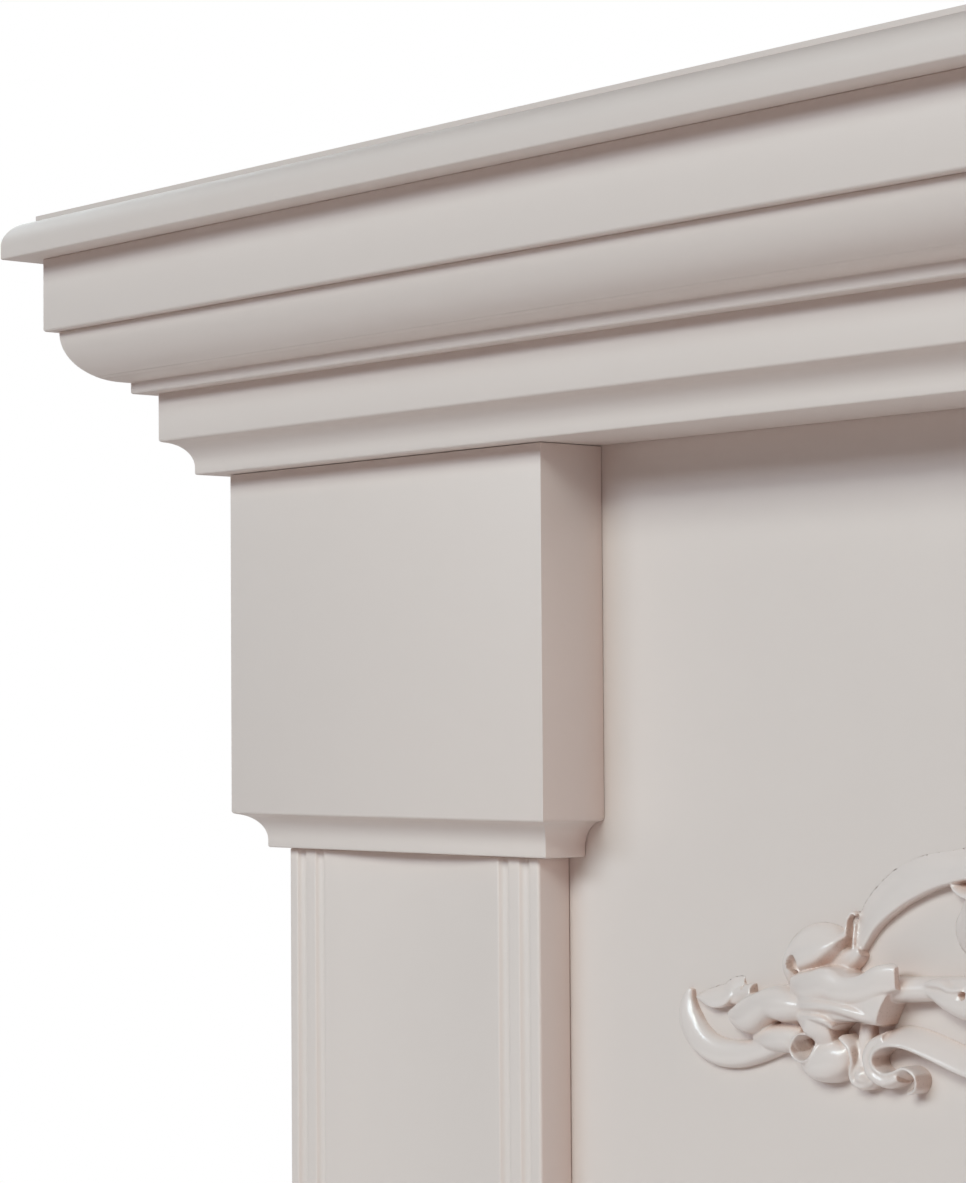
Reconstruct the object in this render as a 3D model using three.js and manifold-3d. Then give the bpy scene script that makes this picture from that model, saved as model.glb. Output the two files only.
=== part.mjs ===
import * as THREE from "three";
import Module from "manifold-3d";

// A painted fireplace mantelpiece in millimetres: X runs across it, Y from the room to the wall, Z up.
// Its origin is on the floor, in the middle of its width and depth.

// Heights of the pieces, from the floor up
const footHeight = 130;
const pilasterHeight = 607;
const headBlockHeight = 154;
const bedMouldingHeight = 34;
const ovoloMouldingHeight = 26.5;
const fasciaHeight = 30.5;
const shelfThickness = 18;

// Widths
const headBlockWidth = 193;
const gapBetweenBlocks = 624;
const pilasterWidth = 154;
const footOverhang = 11;
const fireOpeningWidth = 563;
const fireOpeningHeight = 513;

// Thicknesses and depths
const panelThickness = 18;
const sideReturnThickness = 18;
const sideReturnDepth = 105;
const headBlockProud = 30.8;
const pilasterProud = 15.9;
const footProud = 23;
const fasciaBoardThickness = 30;
const jointGap = 0.3;

// Cornice and head block profile: how far each member stands out past the head block's faces
const shelfProjection = 68.2;
const fasciaProjection = 55.6;
const ovoloProjection = 50.8;
const filletProjection = 29.5;
const bedProjection = 21.2;
const coveDepth = 10.7;
const coveFootHeight = 3.1;
const filletHeight = 4.8;
const noseRadius = 10;
const noseFaceHeight = 5.5;
const noseStep = 0.5;
const arrisRadius = 1.2;
const smallArrisRadius = 0.8;
const footRounding = 7;

// The pilaster's flutes, counted in from each edge, and the hollowed field between them
const edgeLand = 5.4;
const fluteWidth = 5.9;
const fluteDepth = 1.8;
const fluteLand = 6;
const fluteCount = 2;
const fieldHollow = 3;

// The carved ornament: its middle is this far below the cornice, and its back lies on the panel
const ornamentDrop = 189;
const ornamentWidth = 543;
const drawnOrnamentWidth = 543; // the width that the rows of its strokes are drawn for

// The palmette and the pendant in its middle, in the same drawn millimetres
const palmetteRadius = 33;
const palmetteLobes = 7;
const palmetteSpread = 200;
const pendantLobes = 3;
const pendantLength = 30;
const pendantSpread = 80;
const pendantLow = -4;
const lobeRoot = { crest: 6, halfWidth: 1.5 };
const lobeSwellCrest = 11;
const lobeTipCrest = 7;
const sideLobeShare = 0.78;
const bossRadius = 9;
const bossLow = -2;

// Smoothness of the round stretches
const ballSides = 8;
const arcSteps = 10;
const arrisSteps = 3;
const hollowSteps = 6;
const stationsPerSpan = 2;

// Heights and planes worked out from the sizes
const headBlockBottom = footHeight + pilasterHeight;
const corniceBottom = headBlockBottom + headBlockHeight;
const ovoloBottom = corniceBottom + bedMouldingHeight;
const fasciaBottom = ovoloBottom + ovoloMouldingHeight;
const shelfBottom = fasciaBottom + fasciaHeight;
const halfAcrossBlocks = gapBetweenBlocks / 2 + headBlockWidth;
const pilasterInset = (headBlockWidth - pilasterWidth) / 2;
const carcassHalfWidth = halfAcrossBlocks - pilasterInset;
const overallDepth = shelfProjection + headBlockProud + panelThickness + sideReturnDepth;
const wallY = overallDepth / 2;
const panelBackY = wallY - sideReturnDepth;
const panelFrontY = panelBackY - panelThickness;
const headBlockFrontY = panelFrontY - headBlockProud;

const paint = new THREE.MeshStandardMaterial({ color: 0xe6e0da, roughness: 0.45, metalness: 0 });
const carvingPaint = new THREE.MeshStandardMaterial({ color: 0xe9e1da, roughness: 0.25, metalness: 0 });

const wasm = await Module();
wasm.setup();

const mantelpiece = new THREE.Group();

function addPiece(name, geometry, material = paint) {
  const mesh = new THREE.Mesh(geometry, material);
  mesh.name = name;
  mantelpiece.add(mesh);
}

function addPair(name, geometryForSide) {
  addPiece("left_" + name, geometryForSide(-1));
  addPiece("right_" + name, geometryForSide(1));
}

// Points along a circular arc in the plane of a profile, with angles in degrees
function arc(centreX, centreY, radius, fromAngle, toAngle, steps) {
  return Array.from({ length: steps + 1 }, (_, i) => {
    const angle = THREE.MathUtils.degToRad(THREE.MathUtils.lerp(fromAngle, toAngle, i / steps));
    return new THREE.Vector2(centreX + radius * Math.cos(angle), centreY + radius * Math.sin(angle));
  });
}

function point(x, y) {
  return new THREE.Vector2(x, y);
}

// A closed solid through a row of rings with the same number of points, capped by the flat outline of a ring
function loft(rings, capOutline) {
  const count = capOutline.length;
  const index = [];
  for (let ring = 0; ring + 1 < rings.length; ring++)
    for (let i = 0; i < count; i++) {
      const a = ring * count + i;
      const b = ring * count + ((i + 1) % count);
      index.push(a, b, b + count, a, b + count, a + count);
    }
  const last = (rings.length - 1) * count;
  const clockwise = THREE.ShapeUtils.isClockWise(capOutline);
  for (const face of THREE.ShapeUtils.triangulateShape(capOutline, [])) {
    const [a, b, c] = clockwise ? face.reverse() : face;
    index.push(c, b, a, last + a, last + b, last + c);
  }
  const geometry = new THREE.BufferGeometry().setFromPoints(rings.flat());
  geometry.setIndex(signedVolume(geometry, index) < 0 ? index.reverse() : index);
  return geometry;
}

function signedVolume(geometry, index) {
  const corners = geometry.getAttribute("position");
  const [a, b, c] = [new THREE.Vector3(), new THREE.Vector3(), new THREE.Vector3()];
  let volume = 0;
  for (let i = 0; i < index.length; i += 3) {
    a.fromBufferAttribute(corners, index[i]);
    b.fromBufferAttribute(corners, index[i + 1]);
    c.fromBufferAttribute(corners, index[i + 2]);
    volume += a.dot(b.cross(c)) / 6;
  }
  return volume;
}

// A profile swept straight from one end to the other, where each end places a profile point in space
function sweep(profile, nearEnd, farEnd) {
  return loft([profile.map(nearEnd), profile.map(farEnd)], profile);
}

// A flat board between two corners
function board(low, high) {
  const outline = [point(low.x, low.y), point(high.x, low.y), point(high.x, high.y), point(low.x, high.y)];
  return sweep(
    outline,
    (p) => new THREE.Vector3(p.x, p.y, low.z),
    (p) => new THREE.Vector3(p.x, p.y, high.z),
  );
}

// A block whose sides follow a profile of (projection, height) points on the faces that project
function mouldedBlock(profile, low, high, sides) {
  const corners = (p) => [
    new THREE.Vector3(low.x - p.x * sides.left, low.y - p.x * sides.front, p.y),
    new THREE.Vector3(high.x + p.x * sides.right, low.y - p.x * sides.front, p.y),
    new THREE.Vector3(high.x + p.x * sides.right, high.y, p.y),
    new THREE.Vector3(low.x - p.x * sides.left, high.y, p.y),
  ];
  const rings = profile.map(corners);
  return loft(
    rings,
    rings[0].map((corner) => point(corner.x, corner.y)),
  );
}

// The cove that finishes a vertical face at its foot: a small upright, a hollow quarter and a softened edge
function coveProfile(face, bottom) {
  const foot = face - coveDepth;
  const coveTop = bottom + coveFootHeight + coveDepth;
  const coveEnd = 90 + THREE.MathUtils.radToDeg(Math.asin(arrisRadius / coveDepth));
  return [
    ...arc(foot - smallArrisRadius, bottom + smallArrisRadius, smallArrisRadius, -90, 0, arrisSteps),
    ...arc(face, bottom + coveFootHeight, coveDepth, 180, coveEnd, arcSteps),
    ...arc(face - arrisRadius, coveTop + arrisRadius, arrisRadius, -90, 0, arrisSteps),
  ];
}

// One layer of the cornice: a front length mitred to two returns that run back to the wall
function addCorniceLayer(name, outerEdge, bottom, top, frontBack, returnBack) {
  const profileTo = (inner) => [point(inner, bottom), ...outerEdge, point(inner, top)];
  addPiece(
    name + "_front",
    sweep(
      profileTo(frontBack),
      (p) => new THREE.Vector3(-halfAcrossBlocks - p.x, headBlockFrontY - p.x, p.y),
      (p) => new THREE.Vector3(halfAcrossBlocks + p.x, headBlockFrontY - p.x, p.y),
    ),
  );
  for (const [side, direction] of Object.entries({ left: -1, right: 1 }))
    addPiece(
      name + "_" + side + "_return",
      sweep(
        profileTo(returnBack),
        (p) => {
          const mitreY = headBlockFrontY - p.x + jointGap;
          return new THREE.Vector3(direction * (halfAcrossBlocks + p.x), mitreY, p.y);
        },
        (p) => new THREE.Vector3(direction * (halfAcrossBlocks + p.x), wallY, p.y),
      ),
    );
}

function addCornice() {
  const toPanel = jointGap - headBlockProud;
  const toCarcass = jointGap - pilasterInset;
  const ovoloRadius = ovoloProjection - filletProjection;
  addCorniceLayer(
    "bed_moulding",
    [...coveProfile(bedProjection, corniceBottom), point(bedProjection, ovoloBottom - jointGap)],
    corniceBottom,
    ovoloBottom - jointGap,
    toPanel,
    toCarcass,
  );
  addCorniceLayer(
    "ovolo_moulding",
    [
      ...arc(
        filletProjection - smallArrisRadius,
        ovoloBottom + smallArrisRadius,
        smallArrisRadius,
        -90,
        0,
        arrisSteps,
      ),
      ...arc(filletProjection, ovoloBottom + filletHeight + ovoloRadius, ovoloRadius, -90, 0, arcSteps),
      point(ovoloProjection, fasciaBottom - jointGap),
    ],
    ovoloBottom,
    fasciaBottom - jointGap,
    toPanel,
    toCarcass,
  );
  addCorniceLayer(
    "fascia",
    [
      ...arc(fasciaProjection - arrisRadius, fasciaBottom + arrisRadius, arrisRadius, -90, 0, arrisSteps),
      point(fasciaProjection, shelfBottom - jointGap),
    ],
    fasciaBottom,
    shelfBottom - jointGap,
    fasciaProjection - fasciaBoardThickness,
    fasciaProjection - fasciaBoardThickness,
  );
}

function shelf() {
  const noseCentre = shelfProjection - noseRadius;
  const profile = [
    ...arc(
      shelfProjection - smallArrisRadius,
      shelfBottom + smallArrisRadius,
      smallArrisRadius,
      -90,
      0,
      arrisSteps,
    ),
    ...arc(noseCentre, shelfBottom + noseFaceHeight, noseRadius, 0, 90, arcSteps),
    point(noseCentre - noseStep, shelfBottom + noseFaceHeight + noseRadius + noseStep),
    point(noseCentre - noseStep, shelfBottom + shelfThickness),
  ];
  return mouldedBlock(
    profile,
    new THREE.Vector3(-halfAcrossBlocks, headBlockFrontY, 0),
    new THREE.Vector3(halfAcrossBlocks, wallY, 0),
    { left: 1, right: 1, front: 1 },
  );
}

// The flat front that carries everything, with the opening for the fire cut up from the floor
function breastPanel() {
  const halfOpening = fireOpeningWidth / 2;
  const top = shelfBottom - jointGap;
  const outline = [
    point(-carcassHalfWidth, 0),
    point(-halfOpening, 0),
    point(-halfOpening, fireOpeningHeight),
    point(halfOpening, fireOpeningHeight),
    point(halfOpening, 0),
    point(carcassHalfWidth, 0),
    point(carcassHalfWidth, top),
    point(-carcassHalfWidth, top),
  ];
  return sweep(
    outline,
    (p) => new THREE.Vector3(p.x, panelFrontY, p.y),
    (p) => new THREE.Vector3(p.x, panelBackY, p.y),
  );
}

// Two corners of a box on one side of the mantelpiece, from its distances outwards from the middle
function sideCorners(side, inner, outer, frontY, backY, bottom, top) {
  const [a, b] = [side * inner, side * outer];
  return [
    new THREE.Vector3(Math.min(a, b), frontY, bottom),
    new THREE.Vector3(Math.max(a, b), backY, top),
  ];
}

function sideReturn(side) {
  return board(
    ...sideCorners(
      side,
      carcassHalfWidth - sideReturnThickness,
      carcassHalfWidth,
      panelBackY + jointGap,
      wallY,
      0,
      shelfBottom - jointGap,
    ),
  );
}

const headBlockProfile = [
  ...coveProfile(0, headBlockBottom),
  point(0, corniceBottom - jointGap),
];

function headBlock(side) {
  return mouldedBlock(
    headBlockProfile,
    ...sideCorners(
      side,
      gapBetweenBlocks / 2,
      halfAcrossBlocks,
      headBlockFrontY,
      panelFrontY - jointGap,
      0,
      0,
    ),
    { left: 1, right: 1, front: 1 },
  );
}

function headBlockReturn(side) {
  return mouldedBlock(
    headBlockProfile,
    ...sideCorners(side, carcassHalfWidth + jointGap, halfAcrossBlocks, panelFrontY, wallY, 0, 0),
    { left: side < 0 ? 1 : 0, right: side > 0 ? 1 : 0, front: 0 },
  );
}

const footProfile = [
  point(0, 0),
  ...arc(-footRounding, footHeight - jointGap - footRounding, footRounding, 0, 90, arrisSteps),
];

function footBlock(side) {
  const inner = carcassHalfWidth - pilasterWidth - footOverhang;
  const outer = carcassHalfWidth + footOverhang;
  const frontY = panelFrontY - footProud;
  return mouldedBlock(
    footProfile,
    ...sideCorners(side, inner, outer, frontY, panelFrontY - jointGap, 0, 0),
    { left: 1, right: 1, front: 1 },
  );
}

function footReturn(side) {
  const inner = carcassHalfWidth + jointGap;
  return mouldedBlock(
    footProfile,
    ...sideCorners(side, inner, carcassHalfWidth + footOverhang, panelFrontY, wallY, 0, 0),
    { left: side < 0 ? 1 : 0, right: side > 0 ? 1 : 0, front: 0 },
  );
}

// Points along a shallow round hollow cut into a face, as (place across, depth)
function hollow(centre, width, depth, steps) {
  const radius = (width * width / 4 + depth * depth) / (2 * depth);
  return Array.from({ length: steps + 1 }, (_, i) => {
    const across = width * (i / steps - 0.5);
    return point(centre + across, Math.sqrt(radius * radius - across * across) - (radius - depth));
  });
}

// The pilaster's cross-section: narrow flutes at both edges and one wide hollow between them
function pilasterSection() {
  const half = pilasterWidth / 2;
  const fluteCentres = Array.from(
    { length: fluteCount },
    (_, i) => half - edgeLand - fluteWidth / 2 - i * (fluteWidth + fluteLand),
  );
  const fieldWidth = 2 * (fluteCentres[fluteCount - 1] - fluteWidth / 2) - 2 * smallArrisRadius;
  const flutesOn = (side) =>
    [...fluteCentres]
      .sort((a, b) => side * (a - b))
      .flatMap((centre) => hollow(side * centre, fluteWidth, fluteDepth, hollowSteps));
  const front = [
    point(-half, smallArrisRadius),
    point(-half + smallArrisRadius, 0),
    ...flutesOn(-1),
    ...hollow(0, fieldWidth, fieldHollow, 2 * hollowSteps),
    ...flutesOn(1),
    point(half - smallArrisRadius, 0),
    point(half, smallArrisRadius),
  ];
  const back = pilasterProud - jointGap;
  return [point(-half, back), ...front, point(half, back)];
}

function pilaster(side) {
  const centre = side * (carcassHalfWidth - pilasterWidth / 2);
  const frontY = panelFrontY - pilasterProud;
  return sweep(
    pilasterSection(),
    (p) => new THREE.Vector3(centre + p.x, frontY + p.y, footHeight),
    (p) => new THREE.Vector3(centre + p.x, frontY + p.y, headBlockBottom - jointGap),
  );
}

// Cross-sections of the carving, as (share of half width, share of crest height)
const roundedSection = [[-1, 0], [-0.9, 0.6], [-0.5, 0.93], [0, 1], [0.5, 0.93], [0.9, 0.6], [1, 0]];
const dishedSection = [[-1, 0], [-0.95, 0.85], [-0.7, 1], [0, 0.72], [0.7, 1], [0.95, 0.85], [1, 0]];
const slimSection = [[-1, 0], [-0.75, 0.75], [0, 1], [0.75, 0.75], [1, 0]];
const bladeSection = [[-1, 0], [-0.6, 0.24], [0.1, 0.78], [0.74, 1], [0.95, 0.9], [1, 0]];
const ridgedSection = [
  [-1, 0], [-0.95, 0.6], [-0.75, 0.85], [-0.5, 0.82], [-0.25, 0.95], [0, 0.88], [0.25, 1],
  [0.5, 0.94], [0.75, 0.92], [0.95, 0.6], [1, 0],
];

// The carving's strokes on its left half, as rows of (across, up, crest height, half width) from the middle
const carvedStrokes = [
  { // the end leaf curls back on itself
    section: roundedSection,
    rows: [
      [-265.6, -10.6, 2.2, 1.2], [-266, -21, 4.2, 5.3], [-256.4, -30.6, 4.8, 5.4], [-239, -32.2, 4.8, 4.9],
      [-219, -26.4, 4.6, 4],
    ],
  },
  { // its upper lip
    section: bladeSection,
    rows: [[-262.5, -13, 2.2, 0.8], [-252.4, -12.8, 4.6, 4], [-246.4, -11, 3.8, 4], [-240, -6.8, 1.6, 2]],
  },
  { // the soft wave beside the lip
    section: slimSection,
    rows: [[-246, -13, 3, 2.4], [-239.4, -11.8, 3.4, 3.8], [-232, -11.2, 4.6, 4.4]],
  },
  { // the leaf behind the husk
    section: roundedSection,
    rows: [
      [-242.6, -18.3, 6, 2.4], [-236, -18.6, 8.6, 6.2], [-222, -13.4, 11, 6.2], [-211, -13, 12, 6.4],
      [-203.6, -13.4, 11, 5],
    ],
  },
  { // the leaf under it
    section: roundedSection,
    rows: [[-232.6, -26.2, 3.6, 1.8], [-217.4, -25, 7.8, 5.4], [-206.5, -24.2, 7.2, 4.6]],
  },
  { // the husk that the stem grows out of
    section: ridgedSection,
    rows: [
      [-210, -9, 7, 7], [-201, -9, 12.4, 10], [-188, -7.6, 13.8, 11.4], [-175, -7.4, 13.8, 10.8],
      [-160.5, -7, 13.4, 10],
    ],
  },
  { // its low scallop
    section: roundedSection,
    rows: [[-204.4, -14.6, 9.6, 4.6], [-196, -20, 11, 5.8], [-193.9, -26.6, 7, 2.6]],
  },
  { // the leaf turned over above the husk
    section: bladeSection,
    rows: [
      [-212.6, -6.4, 5.5, 3], [-213.4, 0.8, 8, 6.8], [-203, 7, 10.4, 8.6], [-192, 10, 9.6, 5.4],
      [-186.8, 12.2, 4.6, 1.2],
    ],
  },
  { // thin upright tendril
    section: slimSection,
    rows: [[-187.6, 12.4, 4.4, 1], [-187.6, 18, 3, 0.9], [-184.4, 18.4, 2.6, 0.8], [-183.8, 6.6, 4, 1]],
  },
  { // the high scroll, out of the husk, over and round
    section: bladeSection,
    rows: [
      [-185.6, 3.4, 2.4, 2.2], [-176.6, 20, 4, 6], [-155, 33.2, 4.6, 6.8], [-128, 38, 6.6, 5.4],
      [-109, 31, 9, 5.2], [-102.5, 19, 9, 4.6], [-106, 7, 9, 3.8], [-120.8, 8, 8, 2.6],
    ],
  },
  { // the round leaf inside it
    section: roundedSection,
    rows: [[-124, -1, 4.6, 3], [-127.4, 8, 5.8, 7], [-130.6, 17, 6.4, 10.6], [-133.4, 30, 4, 3]],
  },
  { // the stem, running on to the middle
    section: roundedSection,
    rows: [
      [-168, -5.2, 9.6, 4.4], [-141, -3.6, 8, 4.1], [-96, -5.4, 9, 4.2], [-60, -13, 8.5, 4.4],
      [-22, -10, 8, 5],
    ],
  },
  { // the leaf wrapped round the stem
    section: roundedSection,
    rows: [[-152, -3.4, 7.6, 1], [-139.4, -6, 9.8, 5.4], [-124, -6, 9.6, 7.4], [-114, -4, 9, 3]],
  },
  { // the low scroll, from its hooked end to its volute
    section: dishedSection,
    rows: [
      [-159.4, -38.7, 5.5, 1.3], [-154.6, -34.4, 8, 2.1], [-167, -35.6, 8, 2.7], [-174.4, -29, 8.8, 3.1],
      [-166.4, -21.6, 9.4, 3.3], [-147, -23.4, 8.5, 4], [-104, -33, 9, 4.8], [-79, -26, 9, 4.6],
      [-72.4, -9, 9, 4], [-80, 1.4, 8.5, 3.2], [-88.4, -5, 7, 2.2],
    ],
  },
  { // rim of the ribbon under the husk
    section: slimSection,
    rows: [
      [-187.4, -22.4, 8, 1.6], [-181.8, -29.8, 8, 1.5], [-182.6, -37.2, 6.5, 2], [-172.5, -35.6, 6, 1.5],
    ],
  },
  { // the ribbon's web
    section: slimSection,
    rows: [[-179.4, -15, 3, 3.4], [-179.6, -28, 5, 3.8], [-179.2, -34.4, 6.6, 4.4]],
  },
  { // rim of the cupped leaf
    section: slimSection,
    rows: [
      [-197.6, -25.4, 8.5, 1.2], [-203.4, -31.8, 9.5, 1.2], [-209.6, -28, 9, 1.2], [-204, -22.4, 9, 1.2],
      [-198, -23, 8.5, 1.2],
    ],
  },
  { // its rounded underside
    section: roundedSection,
    rows: [[-208.6, -30.2, 5, 3], [-200, -31.8, 9, 7], [-192, -30.4, 9.4, 7.6], [-184.4, -27, 7, 3.6]],
  },
  { // leaf between the low scroll and the middle
    section: dishedSection,
    rows: [[-76, -1, 6, 2], [-64, 8, 9, 6], [-47, 8.6, 9.5, 7], [-22, -3, 8, 5]],
  },
  { // small leaf under the middle stem
    section: bladeSection,
    rows: [[-62, -15, 7, 2], [-50, -22, 8, 4.6], [-38, -24, 7.5, 3.6], [-30, -18.6, 6, 1.6]],
  },
];

// Round pits sunk into the carving, as (across, up, radius, depth of the middle below the crest line)
const carvedPits = [
  [-208, 1.2, 2.8, 9],
  [-203.8, -27, 3.4, 9],
];
const strokeSink = 2;
const leastCrest = 1;
const leastHalfWidth = 0.6;

// Interpolates a row of numbers smoothly through the given rows
function rowAt(rows, share) {
  const place = share * (rows.length - 1);
  const span = Math.min(Math.floor(place), rows.length - 2);
  const at = (i) => rows[THREE.MathUtils.clamp(i, 0, rows.length - 1)];
  const t = place - span;
  return rows[0].map((_, k) => {
    const [a, b, c, d] = [at(span - 1)[k], at(span)[k], at(span + 1)[k], at(span + 2)[k]];
    return b + 0.5 * t * (c - a + t * (2 * a - 5 * b + 4 * c - d + t * (3 * (b - c) + d - a)));
  });
}

// A carved stroke lying on the back plane: its rings stand across its path, side -1 is left and 1 is right
function strokeSolid({ section, rows }, side) {
  const stations = (rows.length - 1) * stationsPerSpan;
  const step = 0.5 / stations;
  const rings = Array.from({ length: stations + 1 }, (_, i) => {
    const share = i / stations;
    const [x, z, crest, halfWidth] = rowAt(rows, share);
    const [beforeX, beforeZ] = rowAt(rows, Math.max(share - step, 0));
    const [afterX, afterZ] = rowAt(rows, Math.min(share + step, 1));
    const across = new THREE.Vector2(afterZ - beforeZ, beforeX - afterX).normalize();
    return section.map(([lateral, height]) => {
      const lift = height === 0 ? -strokeSink : height * Math.max(crest, leastCrest);
      const reach = lateral * Math.max(halfWidth, leastHalfWidth);
      return new THREE.Vector3(-side * (x + reach * across.x), -lift, z + reach * across.y);
    });
  });
  return solidOf(
    loft(
      rings,
      section.map(([lateral, height]) => point(lateral, height)),
    ),
  );
}

function solidOf(geometry) {
  const triVerts = new Uint32Array(geometry.index.array);
  const vertProperties = geometry.getAttribute("position").array;
  return new wasm.Manifold(new wasm.Mesh({ numProp: 3, vertProperties, triVerts }));
}

// Lobes spread like a fan about a direction in degrees, the outer ones a little shorter
function fanOfLobes(count, spread, direction, length, centreZ) {
  const widest = (length * THREE.MathUtils.degToRad(spread)) / (2 * count);
  return Array.from({ length: count }, (_, i) => {
    const lean = THREE.MathUtils.degToRad(spread * (i / (count - 1) - 0.5));
    const angle = THREE.MathUtils.degToRad(direction) + lean;
    const reach = length * THREE.MathUtils.lerp(sideLobeShare, 1, Math.cos(lean));
    const lobeRow = (share, crest, halfWidth) => [
      reach * share * Math.cos(angle),
      centreZ + reach * share * Math.sin(angle),
      crest,
      halfWidth,
    ];
    const rows = [
      lobeRow(0.1, lobeRoot.crest, lobeRoot.halfWidth),
      lobeRow(0.8, lobeSwellCrest, widest),
      lobeRow(1, lobeTipCrest, widest / 2),
    ];
    return strokeSolid({ section: roundedSection, rows }, -1);
  });
}

function ornament() {
  const backY = panelFrontY - jointGap;
  const centreZ = corniceBottom - ornamentDrop;
  let carving = null;
  const join = (solid) => {
    carving = carving ? carving.add(solid) : solid;
  };
  for (const stroke of carvedStrokes) {
    join(strokeSolid(stroke, -1));
    join(strokeSolid(stroke, 1));
  }
  fanOfLobes(palmetteLobes, palmetteSpread, 90, palmetteRadius, 0).forEach(join);
  fanOfLobes(pendantLobes, pendantSpread, -90, pendantLength, pendantLow).forEach(join);
  join(ball(0, 0, bossLow, bossRadius));
  for (const [x, z, radius, depth] of carvedPits)
    for (const side of [-1, 1]) carving = carving.subtract(ball(-side * x, -depth, z, radius));
  const far = drawnOrnamentWidth;
  const scale = ornamentWidth / drawnOrnamentWidth;
  const behind = board(new THREE.Vector3(-far, 0, -far), new THREE.Vector3(far, far, far));
  const mesh = carving.subtract(solidOf(behind)).getMesh();
  return new THREE.BufferGeometry()
    .setAttribute("position", new THREE.BufferAttribute(mesh.vertProperties, 3))
    .setIndex(new THREE.BufferAttribute(mesh.triVerts, 1))
    .scale(scale, scale, scale)
    .translate(0, backY, centreZ);
}

// A ball made of stacked rings that close on a point at each pole
function ball(x, y, z, radius) {
  const lastAngle = 360 - 360 / ballSides;
  const rings = Array.from({ length: ballSides - 1 }, (_, i) => {
    const height = Math.PI * ((i + 1) / ballSides - 0.5);
    return arc(0, 0, radius * Math.cos(height), 0, lastAngle, ballSides - 1).map(
      (p) => new THREE.Vector3(x + p.x, y + radius * Math.sin(height), z + p.y),
    );
  });
  return solidOf(loft(rings, arc(0, 0, 1, 0, lastAngle, ballSides - 1)));
}

addPiece("shelf", shelf());
addCornice();
addPiece("breast_panel", breastPanel());
addPair("side_return", sideReturn);
addPair("head_block", headBlock);
addPair("head_block_return", headBlockReturn);
addPair("pilaster", pilaster);
addPair("foot_block", footBlock);
addPair("foot_return", footReturn);
addPiece("carved_ornament", ornament(), carvingPaint);

export default mantelpiece;
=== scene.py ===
"""A painted fireplace mantelpiece with a stepped cornice, fluted pilasters and a carved scroll.

Lengths are in metres in the model's own frame, with X across, Y from the room to the wall and Z up
from the floor.
"""

from __future__ import annotations

import logging
import math
from collections.abc import Sequence
from dataclasses import dataclass
from enum import Enum

import bpy
import numpy as np
from mathutils import Matrix, Vector

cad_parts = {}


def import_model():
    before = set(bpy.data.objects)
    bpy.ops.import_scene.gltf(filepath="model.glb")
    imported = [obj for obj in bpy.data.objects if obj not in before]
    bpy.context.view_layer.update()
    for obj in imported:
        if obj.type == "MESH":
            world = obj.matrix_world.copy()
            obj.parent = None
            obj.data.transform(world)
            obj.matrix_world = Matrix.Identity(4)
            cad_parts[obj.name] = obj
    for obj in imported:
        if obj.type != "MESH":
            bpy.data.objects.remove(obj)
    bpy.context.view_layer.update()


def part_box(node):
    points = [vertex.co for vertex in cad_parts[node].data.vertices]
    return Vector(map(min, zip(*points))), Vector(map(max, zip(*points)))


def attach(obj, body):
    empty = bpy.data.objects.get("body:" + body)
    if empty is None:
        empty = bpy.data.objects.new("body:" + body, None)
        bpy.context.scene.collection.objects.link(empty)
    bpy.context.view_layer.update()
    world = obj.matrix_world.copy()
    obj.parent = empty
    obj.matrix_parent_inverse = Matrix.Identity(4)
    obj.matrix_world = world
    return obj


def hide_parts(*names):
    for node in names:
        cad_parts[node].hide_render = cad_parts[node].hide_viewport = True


LOG = logging.getLogger("mantelpiece")
BODY = "root"
MM = 0.001
MERGE_DISTANCE = 0.01 * MM
BOARD_ARRIS = 0.8 * MM
ARRIS_SEGMENTS = 3
ARRIS_TURN = 40.0
SMOOTH_TURN = 32.0
NOISE_ROUGHNESS = 0.55


class Side(Enum):
    """Which half of the mantelpiece a piece belongs to, as the sign of its X."""

    LEFT = -1
    RIGHT = 1

    @property
    def word(self) -> str:
        """The side's name as the nodes spell it."""
        return self.name.lower()


class Slot(Enum):
    """The record's finishes."""

    BOARD = "painted_board"
    CARVING = "painted_carving"


class Socket:
    """A shader socket that adds Math nodes when it is used in an expression."""

    def __init__(self, tree: "ShaderTree", link: bpy.types.NodeSocket) -> None:
        """Keeps the tree and the socket whose value this stands for."""
        self.tree = tree
        self.link = link

    def _math(self, operation: str, *values: "Socket | float") -> "Socket":
        """Adds one Math node and returns its result."""
        node = self.tree.node("ShaderNodeMath", {"operation": operation}, dict(enumerate(values)))
        return self.tree.out(node)

    def __add__(self, other: "Socket | float") -> "Socket":
        """Sum."""
        return self._math("ADD", self, other)

    __radd__ = __add__

    def __mul__(self, other: "Socket | float") -> "Socket":
        """Product."""
        return self._math("MULTIPLY", self, other)

    __rmul__ = __mul__

    def __sub__(self, other: "Socket | float") -> "Socket":
        """Difference."""
        return self._math("SUBTRACT", self, other)

    def __rsub__(self, other: float) -> "Socket":
        """Difference from a number."""
        return self._math("SUBTRACT", other, self)

    def clamped(self) -> "Socket":
        """The value held between 0 and 1."""
        node = self.tree.node("ShaderNodeClamp", {}, {"Value": self})
        return self.tree.out(node)


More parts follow.
